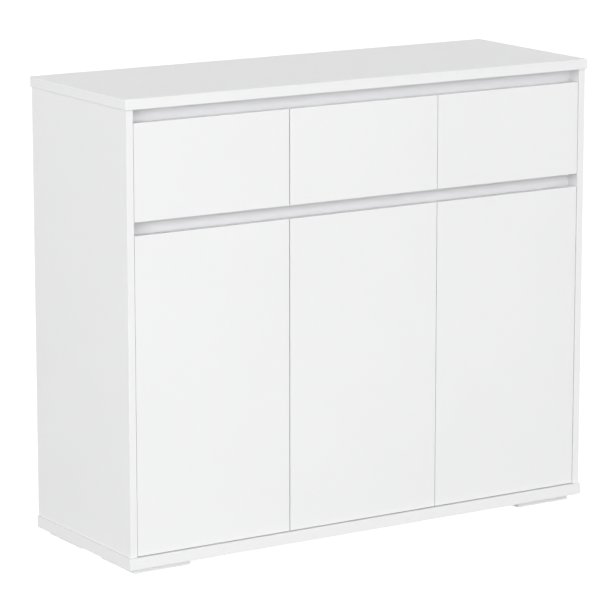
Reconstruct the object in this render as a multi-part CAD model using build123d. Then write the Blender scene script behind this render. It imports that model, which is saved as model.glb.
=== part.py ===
from build123d import *
import os

# A sideboard buffet: three drawers over three cupboard doors in a white melamine carcass.
# Millimetres. X runs along the width, +X to the right of someone facing the fronts. The fronts face -Y,
# and +Z is up. The origin is on the floor, at the centre of the top panel's footprint.

# Overall size
WIDTH = 1160.0
DEPTH = 409.0
HEIGHT = 998.0

# Boards
BOARD = 16.0            # sides, dividers, rails, shelves and fronts
TOP_BOARD = 22.0
BOTTOM_BOARD = 25.0
BACK_BOARD = 3.0        # fibreboard: cabinet backs and drawer bottoms
DRAWER_BOARD = 12.0
OVERHANG = 3.0          # top and bottom panels past the sides' outer faces
FRONT_OVERHANG = 3.5    # and past their front edges
FRONT_RECESS = 1.5      # doors and drawer fronts behind the sides' front edges
REAR_OVERHANG = 1.5     # top panel past the back panels, which leaves room for the nail heads
REBATE = 8.0            # width of the step that the back panels lie in
BACK_GAP = 1.0          # between neighbouring back panels
EDGE_RADIUS = 0.4       # softened edge banding
SIDE_RADIUS = 0.55      # the sides' edges, which leave a fine groove where they meet the top and bottom

# Feet: low square blocks under the four corners
FOOT_WIDTH = 136.0
FOOT_DEPTH = 140.0
FOOT_HEIGHT = 14.5
FOOT_SETBACK = 20.5     # from the bottom panel's ends and front
FOOT_REAR_SETBACK = 20.0
FOOT_RADIUS = 1.0

# Fronts and the two finger channels above them
DRAWER_FRONT_HEIGHT = 203.5
GRIP_HEIGHT = 28.3
GRIP_DEPTH = 34.0       # from the fronts' faces to the board at the back of the channel
UPPER_RAIL_HEIGHT = 50.0
LOWER_RAIL_ABOVE = 4.0  # lower rail past the drawer fronts' bottom edge
LOWER_RAIL_BELOW = 22.0 # and past the doors' top edge
GAP_SIDE_LEFT = 1.6
GAP_SIDE_RIGHT = 1.3
GAP_LEFT = 2.3          # between the left and middle fronts
GAP_RIGHT = 1.6         # between the middle and right fronts
GAP_BOTTOM = 2.0
DIVIDER_SETBACK = 27.0  # room for the middle door's edge to swing in

# Shelves and their pegs
SHELF_SETBACK = 40.0
SHELF_PLAY = 1.0
SHELF_BACK_PLAY = 2.0
SHELF_UNDERSIDE = 360.0
PEG_RADIUS = 2.5
PEG_HOLE_DEPTH = 7.0
PEG_DEPTH = 6.5
PEG_REACH = 8.0
PEG_COLLAR_RADIUS = 4.0
PEG_COLLAR = 1.0
PEG_FIT = 0.05
PEG_PITCH = 32.0
PEG_STEPS = (-2, -1, 0, 1, 2)
PEG_FROM_FRONT = 82.0
PEG_FROM_BACK = 48.0

# Knock-down fittings
CAM_RADIUS = 7.5
CAM_DEPTH = 12.5
CAM_OFFSET = 34.0       # cam centre from the board's end
CAM_PLAY = 0.1
CAM_SLOT = 1.6
CAM_SLOT_DEPTH = 2.0
BOLT_BORE = 4.0
BOLT_RADIUS = 3.5
BOLT_THREAD = 2.5
BOLT_THREAD_LENGTH = 11.0
BOLT_PLAY = 0.5
CAM_Y = (-90.0, 140.0)
DOWEL_RADIUS = 4.0
DOWEL_PLAY = 0.05
DOWEL_LENGTH = 30.0
DOWEL_SHORT_END = 12.0  # length in the face-drilled board
DOWEL_Y = (-30.0, 90.0)
RAIL_CAM_RISE = 9.0
RAIL_DOWEL_DROP = 12.0

# Drawers
DRAWER_DEPTH = 350.0
DRAWER_SIDE_Z = 756.0
DRAWER_SIDE_HEIGHT = 158.0
BOTTOM_GROOVE_RISE = 10.0
BOTTOM_GROOVE_DEPTH = 4.0
GROOVE_PLAY = 0.2

# Ball-bearing drawer runners
RUNNER_THICKNESS = 12.7
RUNNER_LENGTH = 350.0
RUNNER_Z = 820.0
RUNNER_START = 28.0     # from the front plane to the runner's front end
STEEL = 1.2
OUTER_HALF = 22.5
OUTER_REACH = 9.5
OUTER_LIP = 3.4
MIDDLE_HALF = 18.0
MIDDLE_START = 3.0
MIDDLE_REACH = 11.0
INNER_HALF = 13.0
INNER_START = 5.5

# Concealed cup hinges
HINGE_FROM_END = 90.0
PIN_FROM_EDGE = 22.0
PIN_FROM_FACE = 7.5
PIN_RADIUS = 1.5
PIN_RUNNING_FIT = 0.05
KNUCKLE_RADIUS = 2.4
CUP_BORE_RADIUS = 17.5
CUP_BORE_DEPTH = 12.0
CUP_RADIUS = 17.4
CUP_INNER_RADIUS = 16.2
CUP_DEPTH = 11.9
CUP_FLOOR = 0.7
FLANGE = 1.2
FLANGE_RIM_RADIUS = 18.5
FLANGE_HALF_HEIGHT = 28.0
FLANGE_HALF_WIDTH = 5.5
CUP_SCREW_OFFSET = 9.5
CUP_SCREW_RISE = 22.5
EAR_NEAR = 6.6
EAR_FAR = 8.2
EAR_HALF_WIDTH = 3.0
EAR_RISE = 3.0
ARM_SHEET = 1.6
ARM_HALF_WIDTH = 5.5
NECK_REACH = 14.0
NECK_LENGTH = 28.0
ARM_LENGTH = 46.0
ARM_HEIGHT = 12.0
ARM_CHANNEL_HALF = 7.0
ARM_LIFT = 2.2
PLATE_THICKNESS = 2.0
PLATE_START = 5.0       # from the neck to the mounting plate
PLATE_LENGTH = 36.0
PLATE_HALF_HEIGHT = 8.0
PLATE_WING_HALF = 24.0
PLATE_WING_WIDTH = 13.0
PLATE_RIDGE_HALF = 5.0
PLATE_RIDGE_HEIGHT = 10.0
PLATE_SCREW_RISE = 16.0

# Screws and nails
SCREW_RADIUS = 1.75
SCREW_HEAD_RADIUS = 3.5
SCREW_HEAD = 1.6
SCREW_LENGTH = 12.0
FOOT_SCREW_LENGTH = 24.0
FOOT_SCREW_SPACING = 64.0
FOOT_SCREW_RECESS = 1.0
NAIL_RADIUS = 0.8
NAIL_HEAD_RADIUS = 2.2
NAIL_HEAD = 0.8
NAIL_LENGTH = 12.0
NAIL_PITCH = 150.0
NAIL_SETBACK = 4.0

# Worked out from the sizes above
PANEL_FRONT = -DEPTH / 2
SIDE_FRONT = PANEL_FRONT + FRONT_OVERHANG
FRONT = SIDE_FRONT + FRONT_RECESS
TOP_UNDERSIDE = HEIGHT - TOP_BOARD
FLOOR_PANEL_TOP = FOOT_HEIGHT + BOTTOM_BOARD
BACK_OUTER = DEPTH / 2 - REAR_OVERHANG
BACK_INNER = BACK_OUTER - BACK_BOARD
SIDE_OUTER = WIDTH / 2 - OVERHANG
SIDE_INNER = SIDE_OUTER - BOARD
FRONT_REAR = FRONT + BOARD

DRAWER_TOP = TOP_UNDERSIDE - GRIP_HEIGHT
DRAWER_BOTTOM = DRAWER_TOP - DRAWER_FRONT_HEIGHT
DOOR_TOP = DRAWER_BOTTOM - GRIP_HEIGHT
DOOR_BOTTOM = FLOOR_PANEL_TOP + GAP_BOTTOM

DIVIDER_CENTRE = SIDE_INNER / 3
DIVIDER_FRONT = FRONT + DIVIDER_SETBACK
RAIL_FRONT = FRONT + GRIP_DEPTH
RAIL_BACK = RAIL_FRONT + BOARD
UPPER_RAIL = (TOP_UNDERSIDE - UPPER_RAIL_HEIGHT, TOP_UNDERSIDE)
LOWER_RAIL = (DOOR_TOP - LOWER_RAIL_BELOW, DRAWER_BOTTOM + LOWER_RAIL_ABOVE)

PEG_Z = SHELF_UNDERSIDE - PEG_RADIUS
PEG_Y = (FRONT + PEG_FROM_FRONT, BACK_INNER - PEG_FROM_BACK)
HINGE_Z = (DOOR_BOTTOM + HINGE_FROM_END, DOOR_TOP - HINGE_FROM_END)

NAMES = ("left", "middle", "right")
# Clear width between the boards of each bay
BAYS = {
    "left": (-SIDE_INNER, -DIVIDER_CENTRE - BOARD / 2),
    "middle": (-DIVIDER_CENTRE + BOARD / 2, DIVIDER_CENTRE - BOARD / 2),
    "right": (DIVIDER_CENTRE + BOARD / 2, SIDE_INNER),
}
# Left and right ends of each drawer front and door
FRONTS = {
    "left": (-SIDE_INNER + GAP_SIDE_LEFT, -DIVIDER_CENTRE - GAP_LEFT / 2),
    "middle": (-DIVIDER_CENTRE + GAP_LEFT / 2, DIVIDER_CENTRE - GAP_RIGHT / 2),
    "right": (DIVIDER_CENTRE + GAP_RIGHT / 2, SIDE_INNER - GAP_SIDE_RIGHT),
}
# Hinge side of each door: +1 where the hinges are on its left and the door reaches to +X from them
HINGE_SIDES = {"left": 1, "middle": 1, "right": -1}
# Upright boards: the middle of their thickness, and the side that their cam locks are drilled from
UPRIGHTS = {
    "side_panel_left": (-SIDE_INNER - BOARD / 2, 1),
    "side_panel_right": (SIDE_INNER + BOARD / 2, -1),
    "divider_left": (-DIVIDER_CENTRE, 1),
    "divider_right": (DIVIDER_CENTRE, -1),
}
# Upright ends: the joint plane and the way from it into the upright
UPRIGHT_ENDS = ((TOP_UNDERSIDE, -1), (FLOOR_PANEL_TOP, 1))


def block(x, y, z):
    """A box between two values on each axis, given in either order."""
    sizes = [abs(b - a) for a, b in (x, y, z)]
    middles = [(a + b) / 2 for a, b in (x, y, z)]
    return Pos(*middles) * Box(*sizes)


def rod(start, direction, radius, length):
    """A round bar from a point along a direction."""
    place = Plane(origin=start, z_dir=direction)
    return place * Cylinder(radius, length, align=(Align.CENTER, Align.CENTER, Align.MIN))


def rounded(solid, radius=EDGE_RADIUS):
    """A board with all its edges rounded, as edge banding is."""
    return fillet(solid.edges(), radius)


def cut(solid, tools):
    """The solid with every tool taken away."""
    for tool in tools:
        solid = solid - tool
    return solid


def save(name, *solids):
    """Writes one node; several solids are a group of identical pieces."""
    shape = solids[0] if len(solids) == 1 else Compound(children=list(solids))
    export_step(shape, f"parts/{name}.step")


# ---- Where the fittings go ----

def upright_cams(name):
    """For each cam lock of an upright: the cam's place, the bolt's joint point and the ways in."""
    centre, side = UPRIGHTS[name]
    face = centre + side * BOARD / 2
    for plane, way in UPRIGHT_ENDS:
        for y in CAM_Y:
            yield (face, y, plane + way * CAM_OFFSET), (-side, 0, 0), (centre, y, plane), (0, 0, way)


def rail_cams(rail):
    """The same for a grip rail: its cam locks are drilled from behind, its bolts are in the sides."""
    z = sum(rail) / 2 + RAIL_CAM_RISE
    for end in (-1, 1):
        joint = (end * SIDE_INNER, RAIL_FRONT + BOARD / 2, z)
        yield (end * (SIDE_INNER - CAM_OFFSET), RAIL_BACK, z), (0, -1, 0), joint, (-end, 0, 0)


def upright_dowels(name):
    """Joint points of an upright's dowels and the way from each into the upright."""
    centre = UPRIGHTS[name][0]
    return [((centre, y, plane), (0, 0, way)) for plane, way in UPRIGHT_ENDS for y in DOWEL_Y]


def rail_dowels(rail):
    """Joint points of a rail's dowels and the way from each into the rail."""
    z = sum(rail) / 2 - RAIL_DOWEL_DROP
    return [((end * SIDE_INNER, RAIL_FRONT + BOARD / 2, z), (-end, 0, 0)) for end in (-1, 1)]


def away(direction):
    """The opposite direction."""
    return tuple(-part for part in direction)


def moved(point, direction, distance):
    """A point shifted along a direction."""
    return tuple(a + b * distance for a, b in zip(point, direction))


def end_bores(cams, dowels):
    """Bores in the board whose end is joined: cam housings, bolt bores and dowel holes."""
    tools = []
    for face, into, joint, way in cams:
        tools.append(rod(face, into, CAM_RADIUS, CAM_DEPTH))
        tools.append(rod(joint, way, BOLT_BORE, CAM_OFFSET))
    for joint, way in dowels:
        tools.append(rod(joint, way, DOWEL_RADIUS, DOWEL_LENGTH - DOWEL_SHORT_END + BOLT_PLAY))
    return tools


def face_bores(cams, dowels):
    """Bores in the board that the fittings are driven into by its face."""
    tools = []
    for _, _, joint, way in cams:
        tools.append(rod(joint, away(way), BOLT_THREAD, BOLT_THREAD_LENGTH))
    for joint, way in dowels:
        tools.append(rod(joint, away(way), DOWEL_RADIUS, DOWEL_SHORT_END + BOLT_PLAY))
    return tools


ALL_CAMS = [cam for name in UPRIGHTS for cam in upright_cams(name)]
RAIL_CAMS = [cam for rail in (UPPER_RAIL, LOWER_RAIL) for cam in rail_cams(rail)]
ALL_DOWELS = [dowel for name in UPRIGHTS for dowel in upright_dowels(name)]
RAIL_DOWELS = [dowel for rail in (UPPER_RAIL, LOWER_RAIL) for dowel in rail_dowels(rail)]


def at_plane(items, plane, key):
    """The fittings whose joint point lies in a horizontal plane."""
    return [item for item in items if item[key][2] == plane]


# ---- Carcass ----

def top_panel():
    board = rounded(block((-WIDTH / 2, WIDTH / 2), (PANEL_FRONT, DEPTH / 2), (TOP_UNDERSIDE, HEIGHT)))
    cams = at_plane(ALL_CAMS, TOP_UNDERSIDE, 2)
    return cut(board, face_bores(cams, at_plane(ALL_DOWELS, TOP_UNDERSIDE, 0)))


def bottom_panel():
    ends = (-WIDTH / 2, WIDTH / 2)
    board = rounded(block(ends, (PANEL_FRONT, BACK_OUTER), (FOOT_HEIGHT, FLOOR_PANEL_TOP)))
    cams = at_plane(ALL_CAMS, FLOOR_PANEL_TOP, 2)
    tools = face_bores(cams, at_plane(ALL_DOWELS, FLOOR_PANEL_TOP, 0))
    tools.append(back_recess())
    return cut(board, tools)


def peg_bores(face, into):
    """Two columns of shelf peg holes in one face of an upright."""
    return [
        rod((face, y, PEG_Z + step * PEG_PITCH), (into, 0, 0), PEG_RADIUS, PEG_HOLE_DEPTH)
        for y in PEG_Y
        for step in PEG_STEPS
    ]


def side_panel(name):
    centre, side = UPRIGHTS[name]
    faces = (centre - BOARD / 2, centre + BOARD / 2)
    height = (FLOOR_PANEL_TOP, TOP_UNDERSIDE)
    board = rounded(block(faces, (SIDE_FRONT, BACK_OUTER), height), SIDE_RADIUS)
    tools = end_bores(upright_cams(name), upright_dowels(name))
    tools.append(back_recess())
    tools += peg_bores(centre + side * BOARD / 2, -side)
    cams = [cam for cam in RAIL_CAMS if cam[2][0] * centre > 0]
    dowels = [dowel for dowel in RAIL_DOWELS if dowel[0][0] * centre > 0]
    return cut(board, tools + face_bores(cams, dowels))


def divider(name):
    centre = UPRIGHTS[name][0]
    faces = (centre - BOARD / 2, centre + BOARD / 2)
    board = block(faces, (DIVIDER_FRONT, BACK_INNER), (FLOOR_PANEL_TOP, TOP_UNDERSIDE))
    tools = [block(faces, (DIVIDER_FRONT, RAIL_BACK), rail) for rail in (UPPER_RAIL, LOWER_RAIL)]
    tools += end_bores(upright_cams(name), upright_dowels(name))
    for side in (-1, 1):
        tools += peg_bores(centre + side * BOARD / 2, -side)
    return cut(board, tools)


def grip_rail(rail):
    board = block((-SIDE_INNER, SIDE_INNER), (RAIL_FRONT, RAIL_BACK), rail)
    return cut(board, end_bores(rail_cams(rail), rail_dowels(rail)))


def back_recess():
    """The space that the three backs lie in, which steps into the sides and the bottom panel."""
    end = SIDE_INNER + REBATE
    return block((-end, end), (BACK_INNER, BACK_OUTER), (FLOOR_PANEL_TOP - REBATE, TOP_UNDERSIDE))


def back_panel(name):
    """One of the three thin backs, which end on the dividers' back edges."""
    end = SIDE_INNER + REBATE
    near = DIVIDER_CENTRE - BACK_GAP / 2
    far = DIVIDER_CENTRE + BACK_GAP / 2
    ends = {"left": (-end, -far), "middle": (-near, near), "right": (far, end)}
    height = (FLOOR_PANEL_TOP - REBATE, TOP_UNDERSIDE)
    return block(ends[name], (BACK_INNER, BACK_OUTER), height)


def shelf(name):
    low, high = BAYS[name]
    ends = (low + SHELF_PLAY, high - SHELF_PLAY)
    depth = (FRONT + SHELF_SETBACK, BACK_INNER - SHELF_BACK_PLAY)
    board = block(ends, depth, (SHELF_UNDERSIDE, SHELF_UNDERSIDE + BOARD))
    return fillet(board.edges().filter_by(Axis.X).group_by(Axis.Y)[0], EDGE_RADIUS)


def peg(face, side, y):
    """A shelf peg in an upright's face, reaching out under the shelf."""
    fit = PEG_RADIUS - PEG_FIT
    stem = rod((face - side * PEG_DEPTH, y, PEG_Z), (side, 0, 0), fit, PEG_DEPTH)
    nose = rod((face, y, PEG_Z), (side, 0, 0), PEG_RADIUS, PEG_REACH)
    collar = rod((face, y, PEG_Z), (side, 0, 0), PEG_COLLAR_RADIUS, PEG_COLLAR)
    collar -= block((face, face + side * PEG_COLLAR), (y - BOARD, y + BOARD), (SHELF_UNDERSIDE, HEIGHT))
    return stem + nose + collar


def shelf_pegs():
    faces = [place for bay in BAYS.values() for place in zip(bay, (1, -1))]
    return [peg(face, side, y) for face, side in faces for y in PEG_Y]


def foot(side, end):
    """One corner block; side is -1 on the left and +1 on the right, end is -1 in front."""
    x = side * (WIDTH / 2 - FOOT_SETBACK)
    y = PANEL_FRONT + FOOT_SETBACK if end < 0 else DEPTH / 2 - FOOT_REAR_SETBACK
    body = block((x, x - side * FOOT_WIDTH), (y, y - end * FOOT_DEPTH), (0, FOOT_HEIGHT))
    body = fillet(body.edges().filter_by(Axis.Z), FOOT_RADIUS)
    up = (0, 0, 1)
    tools = []
    for spot in foot_screw_spots(side, end):
        tools.append(rod((*spot, 0), up, SCREW_HEAD_RADIUS + BOLT_PLAY, FOOT_SCREW_RECESS + SCREW_HEAD))
        tools.append(rod((*spot, 0), up, SCREW_RADIUS, FOOT_HEIGHT))
    return cut(body, tools)


def foot_screw_spots(side, end):
    """Where a foot's two screws are, along its diagonal."""
    x = side * (WIDTH / 2 - FOOT_SETBACK - FOOT_WIDTH / 2)
    y = PANEL_FRONT + FOOT_SETBACK + FOOT_DEPTH / 2
    if end > 0:
        y = DEPTH / 2 - FOOT_REAR_SETBACK - FOOT_DEPTH / 2
    half = FOOT_SCREW_SPACING / 2
    return [(x - half, y - half), (x + half, y + half)]


def cam_lock(face, into, joint, way):
    """A round cam housing with a driver slot, and a channel for the bolt's head."""
    body = rod(face, into, CAM_RADIUS - CAM_PLAY, CAM_DEPTH - CAM_PLAY)
    centre = moved(joint, way, CAM_OFFSET + BOLT_PLAY)
    channel = rod(centre, away(way), BOLT_BORE, CAM_RADIUS + BOLT_PLAY)
    cross = Plane(origin=face, z_dir=into)
    slot = Box(CAM_RADIUS, CAM_SLOT, 2 * CAM_SLOT_DEPTH)
    return body - channel - cross * slot - cross * Rot(0, 0, 90) * slot


def cam_bolt(face, into, joint, way):
    """The bolt that the cam lock pulls on: a thread in one board, a plain stem in the other."""
    thread = rod(moved(joint, way, -BOLT_THREAD_LENGTH), way, BOLT_THREAD, BOLT_THREAD_LENGTH)
    return thread + rod(joint, way, BOLT_RADIUS, CAM_OFFSET - BOLT_PLAY)


def dowel(joint, way):
    return rod(moved(joint, way, -DOWEL_SHORT_END), way, DOWEL_RADIUS - DOWEL_PLAY, DOWEL_LENGTH)


def screw(point, into, length):
    """A pan-head screw, whose head stands out from the point and whose shank goes in."""
    head = rod(moved(point, into, -SCREW_HEAD), into, SCREW_HEAD_RADIUS, SCREW_HEAD)
    return head + rod(point, into, SCREW_RADIUS, length)


def foot_screws():
    """Screws up through the feet, with their heads inside the feet's undersides."""
    seat = FOOT_SCREW_RECESS + SCREW_HEAD
    spots = [spot for side in (-1, 1) for end in (-1, 1) for spot in foot_screw_spots(side, end)]
    return [screw((*spot, seat), (0, 0, 1), FOOT_SCREW_LENGTH) for spot in spots]


def nail(x, z):
    into = (0, -1, 0)
    head = rod((x, BACK_OUTER + NAIL_HEAD, z), into, NAIL_HEAD_RADIUS, NAIL_HEAD)
    return head + rod((x, BACK_OUTER, z), into, NAIL_RADIUS, NAIL_LENGTH)


def back_nails():
    """Nails down both edges of each back panel and along its foot."""
    height = TOP_UNDERSIDE - FLOOR_PANEL_TOP
    rows = int(height // NAIL_PITCH)
    levels = [FLOOR_PANEL_TOP + height * (row + 0.5) / (rows + 1) for row in range(rows + 1)]
    columns = [-SIDE_INNER - REBATE / 2, SIDE_INNER + REBATE / 2]
    columns += [end * DIVIDER_CENTRE + side * NAIL_SETBACK for end in (-1, 1) for side in (-1, 1)]
    nails = [nail(x, z) for x in columns for z in levels]
    foot_line = FLOOR_PANEL_TOP - REBATE / 2
    for name in NAMES:
        nails += [nail(sum(FRONTS[name]) / 2 + step * NAIL_PITCH, foot_line) for step in (-1, 0, 1)]
    return nails


# ---- Drawers ----

def box_sides(name):
    """Outer faces of a drawer box, inside its two runners."""
    low, high = BAYS[name]
    return low + RUNNER_THICKNESS, high - RUNNER_THICKNESS


def drawer_bottom(name, play=0.0):
    """The thin bottom in the grooves of the sides and front, or with play, the grooves themselves."""
    low, high = box_sides(name)
    groove = DRAWER_BOARD - BOTTOM_GROOVE_DEPTH
    z = DRAWER_SIDE_Z + BOTTOM_GROOVE_RISE
    ends = (low + groove - play, high - groove + play)
    depth = (FRONT_REAR - BOTTOM_GROOVE_DEPTH - play, FRONT_REAR + DRAWER_DEPTH + 2 * play)
    return block(ends, depth, (z - play, z + BACK_BOARD + play))


def drawer_front(name):
    board = rounded(block(FRONTS[name], (FRONT, FRONT_REAR), (DRAWER_BOTTOM, DRAWER_TOP)))
    return board - drawer_bottom(name, GROOVE_PLAY)


def drawer_sides(name):
    low, high = box_sides(name)
    depth = (FRONT_REAR, FRONT_REAR + DRAWER_DEPTH)
    height = (DRAWER_SIDE_Z, DRAWER_SIDE_Z + DRAWER_SIDE_HEIGHT)
    spans = ((low, low + DRAWER_BOARD), (high - DRAWER_BOARD, high))
    return [block(span, depth, height) - drawer_bottom(name, GROOVE_PLAY) for span in spans]


def drawer_back(name):
    low, high = box_sides(name)
    rear = FRONT_REAR + DRAWER_DEPTH
    lowest = DRAWER_SIDE_Z + BOTTOM_GROOVE_RISE + BACK_BOARD + GROOVE_PLAY
    height = (lowest, DRAWER_SIDE_Z + DRAWER_SIDE_HEIGHT)
    return block((low + DRAWER_BOARD, high - DRAWER_BOARD), (rear - DRAWER_BOARD, rear), height)


def runner_channel(face, side, web, reach, half, depth):
    """A steel channel lying on its side: a web, and a flange along its top and bottom."""
    def across(a, b):
        return face + side * a, face + side * b
    parts = block(across(web, web + STEEL), depth, (RUNNER_Z - half, RUNNER_Z + half))
    for edge in (-1, 1):
        flange = (RUNNER_Z + edge * (half - STEEL), RUNNER_Z + edge * half)
        parts += block(across(*reach), depth, flange)
    return parts


def runner_ends(name):
    """The two upright faces that a drawer's runners stand between, and the way inwards from each."""
    return zip(BAYS[name], (1, -1))


def runner_depth(length):
    start = FRONT + RUNNER_START
    return start, start + length


def runner_outer(name):
    """Cabinet members, whose flanges end in lips that hold the balls in."""
    members = []
    for face, side in runner_ends(name):
        member = runner_channel(face, side, 0, (0, OUTER_REACH), OUTER_HALF, runner_depth(RUNNER_LENGTH))
        for edge in (-1, 1):
            lip = (RUNNER_Z + edge * (OUTER_HALF - OUTER_LIP), RUNNER_Z + edge * OUTER_HALF)
            reach = (face + side * (OUTER_REACH - STEEL), face + side * OUTER_REACH)
            member += block(reach, runner_depth(RUNNER_LENGTH), lip)
        members.append(member)
    return members


def runner_middle(name):
    """Middle members, which move half as far as the drawer."""
    reach = (MIDDLE_START, MIDDLE_REACH)
    return [
        runner_channel(face, side, MIDDLE_START, reach, MIDDLE_HALF, runner_depth(RUNNER_LENGTH))
        for face, side in runner_ends(name)
    ]


def runner_inner(name):
    """Drawer members, flat against the drawer's sides."""
    web = RUNNER_THICKNESS - STEEL
    length = FRONT_REAR + DRAWER_DEPTH - FRONT - RUNNER_START
    reach = (INNER_START, RUNNER_THICKNESS)
    return [
        runner_channel(face, side, web, reach, INNER_HALF, runner_depth(length))
        for face, side in runner_ends(name)
    ]


# ---- Doors and their hinges ----

def hinge_edge(name):
    """X of the door's edge at its hinges."""
    low, high = FRONTS[name]
    return low if HINGE_SIDES[name] > 0 else high


def hinge_face(name):
    """X of the upright's face that the hinges are screwed to."""
    low, high = BAYS[name]
    return low if HINGE_SIDES[name] > 0 else high


def pin_x(name):
    return hinge_edge(name) + HINGE_SIDES[name] * PIN_FROM_EDGE


def cup_screw_spots(name, z):
    x = pin_x(name) + HINGE_SIDES[name] * CUP_SCREW_OFFSET
    return [(x, FRONT_REAR, z - CUP_SCREW_RISE), (x, FRONT_REAR, z + CUP_SCREW_RISE)]


def door(name):
    board = rounded(block(FRONTS[name], (FRONT, FRONT_REAR), (DOOR_BOTTOM, DOOR_TOP)))
    cups = [(pin_x(name), FRONT_REAR, z) for z in HINGE_Z]
    return cut(board, [rod(cup, (0, -1, 0), CUP_BORE_RADIUS, CUP_BORE_DEPTH) for cup in cups])


def hinge_cup(name, z):
    """A pressed cup with its flange, and two ears inside that hold the pin."""
    x, side = pin_x(name), HINGE_SIDES[name]
    into = (0, -1, 0)
    flange_x = x + side * CUP_SCREW_OFFSET
    cup = rod((x, FRONT_REAR, z), into, CUP_RADIUS, CUP_DEPTH)
    cup += rod((x, FRONT_REAR + FLANGE, z), into, FLANGE_RIM_RADIUS, FLANGE)
    wings = block(
        (flange_x - FLANGE_HALF_WIDTH, flange_x + FLANGE_HALF_WIDTH),
        (FRONT_REAR, FRONT_REAR + FLANGE),
        (z - FLANGE_HALF_HEIGHT, z + FLANGE_HALF_HEIGHT),
    )
    cup += fillet(wings.edges().filter_by(Axis.Y), FLANGE_HALF_WIDTH - EDGE_RADIUS)
    cup -= rod((x, FRONT_REAR + FLANGE, z), into, CUP_INNER_RADIUS, FLANGE + CUP_DEPTH - CUP_FLOOR)
    floor = FRONT_REAR - CUP_DEPTH + CUP_FLOOR
    for end in (-1, 1):
        ear = block(
            (x - EAR_HALF_WIDTH, x + EAR_HALF_WIDTH),
            (floor, FRONT + PIN_FROM_FACE + EAR_RISE),
            (z + end * EAR_NEAR, z + end * EAR_FAR),
        )
        cup += ear
    cup -= hinge_pin(name, z)
    return cut(cup, [rod(spot, (0, 1, 0), SCREW_RADIUS, FLANGE) for spot in cup_screw_spots(name, z)])


def hinge_pin(name, z):
    return rod((pin_x(name), FRONT + PIN_FROM_FACE, z - EAR_FAR), (0, 0, 1), PIN_RADIUS, 2 * EAR_FAR)


def hinge_arm(name, z):
    """The arm from the mounting plate, with the cranked neck that reaches into the cup to the pin."""
    x, side, face = pin_x(name), HINGE_SIDES[name], hinge_face(name)
    pin_y = FRONT + PIN_FROM_FACE
    half = ARM_SHEET / 2
    width = (z - ARM_HALF_WIDTH, z + ARM_HALF_WIDTH)
    neck_x = x + side * NECK_REACH
    neck_y = pin_y + NECK_LENGTH
    outer = neck_x + side * half
    knuckle = rod((x, pin_y, width[0]), (0, 0, 1), KNUCKLE_RADIUS, 2 * ARM_HALF_WIDTH)
    arm = knuckle + block((x, outer), (pin_y - half, pin_y + half), width)
    arm += block((neck_x - side * half, outer), (pin_y - half, neck_y + half), width)
    arm += block((face + side * ARM_LIFT, outer), (neck_y - half, neck_y + half), width)
    body = (neck_y - half, neck_y + ARM_LENGTH)
    channel = (z - ARM_CHANNEL_HALF, z + ARM_CHANNEL_HALF)
    arm += block((face + side * ARM_LIFT, face + side * ARM_HEIGHT), body, channel)
    hollow = (face, face + side * (ARM_HEIGHT - ARM_SHEET))
    arm -= block(hollow, (neck_y + half, neck_y + ARM_LENGTH + half), width)
    bore = rod((x, pin_y, width[0]), (0, 0, 1), PIN_RADIUS + PIN_RUNNING_FIT, 2 * ARM_HALF_WIDTH)
    return arm - bore


def plate_centre_y():
    return FRONT + PIN_FROM_FACE + NECK_LENGTH + PLATE_START + PLATE_LENGTH / 2


def hinge_plate(name, z):
    """The cross-shaped mounting plate on the upright, with the ridge that the arm clips over."""
    side, face, y = HINGE_SIDES[name], hinge_face(name), plate_centre_y()
    skin = (face, face + side * PLATE_THICKNESS)
    span = (y - PLATE_LENGTH / 2, y + PLATE_LENGTH / 2)
    plate = block(skin, span, (z - PLATE_HALF_HEIGHT, z + PLATE_HALF_HEIGHT))
    wing = (y - PLATE_WING_WIDTH / 2, y + PLATE_WING_WIDTH / 2)
    wings = block(skin, wing, (z - PLATE_WING_HALF, z + PLATE_WING_HALF))
    plate += fillet(wings.edges().filter_by(Axis.X), PLATE_WING_WIDTH / 3)
    plate += block(
        (face, face + side * PLATE_RIDGE_HEIGHT), span, (z - PLATE_RIDGE_HALF, z + PLATE_RIDGE_HALF)
    )
    holes = [rod(spot, (side, 0, 0), SCREW_RADIUS, PLATE_THICKNESS) for spot in plate_spots(name, z)]
    return cut(plate, holes)


def plate_spots(name, z):
    """Where the plate's two screws enter the upright."""
    return [(hinge_face(name), plate_centre_y(), z + end * PLATE_SCREW_RISE) for end in (-1, 1)]


def plate_screws():
    screws = []
    for name in NAMES:
        side = HINGE_SIDES[name]
        for z in HINGE_Z:
            for spot in plate_spots(name, z):
                on_plate = moved(spot, (side, 0, 0), PLATE_THICKNESS)
                screws.append(screw(on_plate, (-side, 0, 0), SCREW_LENGTH))
    return screws


def cup_screws(name):
    return [
        screw(moved(spot, (0, 1, 0), FLANGE), (0, -1, 0), SCREW_LENGTH)
        for z in HINGE_Z
        for spot in cup_screw_spots(name, z)
    ]


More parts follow.
